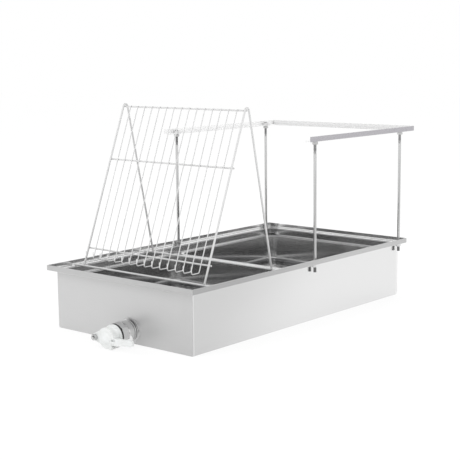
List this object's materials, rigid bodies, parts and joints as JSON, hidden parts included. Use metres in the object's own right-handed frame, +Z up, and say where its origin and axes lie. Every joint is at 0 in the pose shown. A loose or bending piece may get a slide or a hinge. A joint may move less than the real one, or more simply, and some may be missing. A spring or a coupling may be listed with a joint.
{
  "type": "uncapping tank",
  "caption": "Shallow stainless tank with lift-out strainer trays, a sloping wire rest for uncapping comb frames, raised rails where frames hang to drip, and a swinging drain gate.",
  "frame": {"origin": "centre of the tank's underside", "axes": "+X across the tank, to the right as seen from the drain end; +Y along the tank, from the drain end to the rear; +Z up"},
  "size_m": [0.4914, 0.9722, 0.546],
  "materials": {
    "tank_steel": "satin sheet with a fine grain along its length",
    "tray_steel": "smooth pressed sheet, duller than the tank",
    "rail_steel": "folded strip with a fine grain",
    "post_steel": "drawn rod with threaded ends",
    "rod_steel": "bright polished rod and wire",
    "hardware_steel": "bright turned metal",
    "white_nylon": "moulded, slightly waxy",
    "black_rubber": "matt"
  },
  "bodies": {
    "tank": {"tank_trough": "tank_steel", "front_panel": "tank_steel", "rear_panel": "tank_steel", "ledge_left": "tank_steel", "ledge_right": "tank_steel", "rail_left": "rail_steel", "rail_right": "rail_steel", "rail_rear": "rail_steel", "post_front_left": "post_steel", "post_rear_left": "post_steel", "post_front_right": "post_steel", "post_rear_right": "post_steel", "rail_top_nuts": "hardware_steel", "rail_under_nuts": "hardware_steel", "rail_washers": "hardware_steel", "rim_top_nuts": "hardware_steel", "rim_under_nuts": "hardware_steel", "rim_washers": "hardware_steel", "drain_socket": "hardware_steel", "lock_nut": "hardware_steel", "spigot_seal": "black_rubber", "gate_body": "white_nylon", "pivot_bolt": "hardware_steel", "pivot_washer": "hardware_steel", "pivot_nut": "hardware_steel"},
    "rest": {"rest_side_left": "rod_steel", "rest_side_right": "rod_steel", "rest_top_bar": "rod_steel", "rest_mid_bar": "rod_steel", "rest_low_bar": "rod_steel", "rest_front_foot": "rod_steel", "rest_rear_foot": "rod_steel", "rest_wire_1": "rod_steel", "rest_wire_2": "rod_steel", "rest_wire_3": "rod_steel", "rest_wire_4": "rod_steel", "rest_wire_5": "rod_steel", "rest_wire_6": "rod_steel", "rest_wire_7": "rod_steel", "rest_wire_8": "rod_steel", "rest_wire_9": "rod_steel", "rest_wire_10": "rod_steel", "rest_wire_11": "rod_steel", "rest_wire_12": "rod_steel", "rest_wire_13": "rod_steel", "rest_wire_14": "rod_steel", "rest_wire_15": "rod_steel"},
    "front_tray": {"front_tray_pan": "tray_steel", "front_strainer": "tray_steel"},
    "rear_tray": {"rear_tray_pan": "tray_steel", "rear_strainer": "tray_steel"},
    "gate": {"gate_blade": "white_nylon"}
  },
  "joints": [
    {"name": "rest_lift", "type": "slide", "parent": "tank", "child": "rest", "axis": [0, 0, 1], "range_m": [0, 0.4]},
    {"name": "front_tray_lift", "type": "slide", "parent": "tank", "child": "front_tray", "axis": [0, 0, 1], "range_m": [0, 0.14]},
    {"name": "rear_tray_lift", "type": "slide", "parent": "tank", "child": "rear_tray", "axis": [0, 0, 1], "range_m": [0, 0.45]},
    {"name": "gate_swing", "type": "hinge", "parent": "tank", "child": "gate", "pos_m": [-0.00995, -0.48975, 0.02535], "axis": [0, -0.9981, -0.061], "range_deg": [0, 100]}
  ],
  "couplings": [
    {"joint": "front_tray_lift", "follows": "rest_lift", "ratio": 0.35}
  ]
}
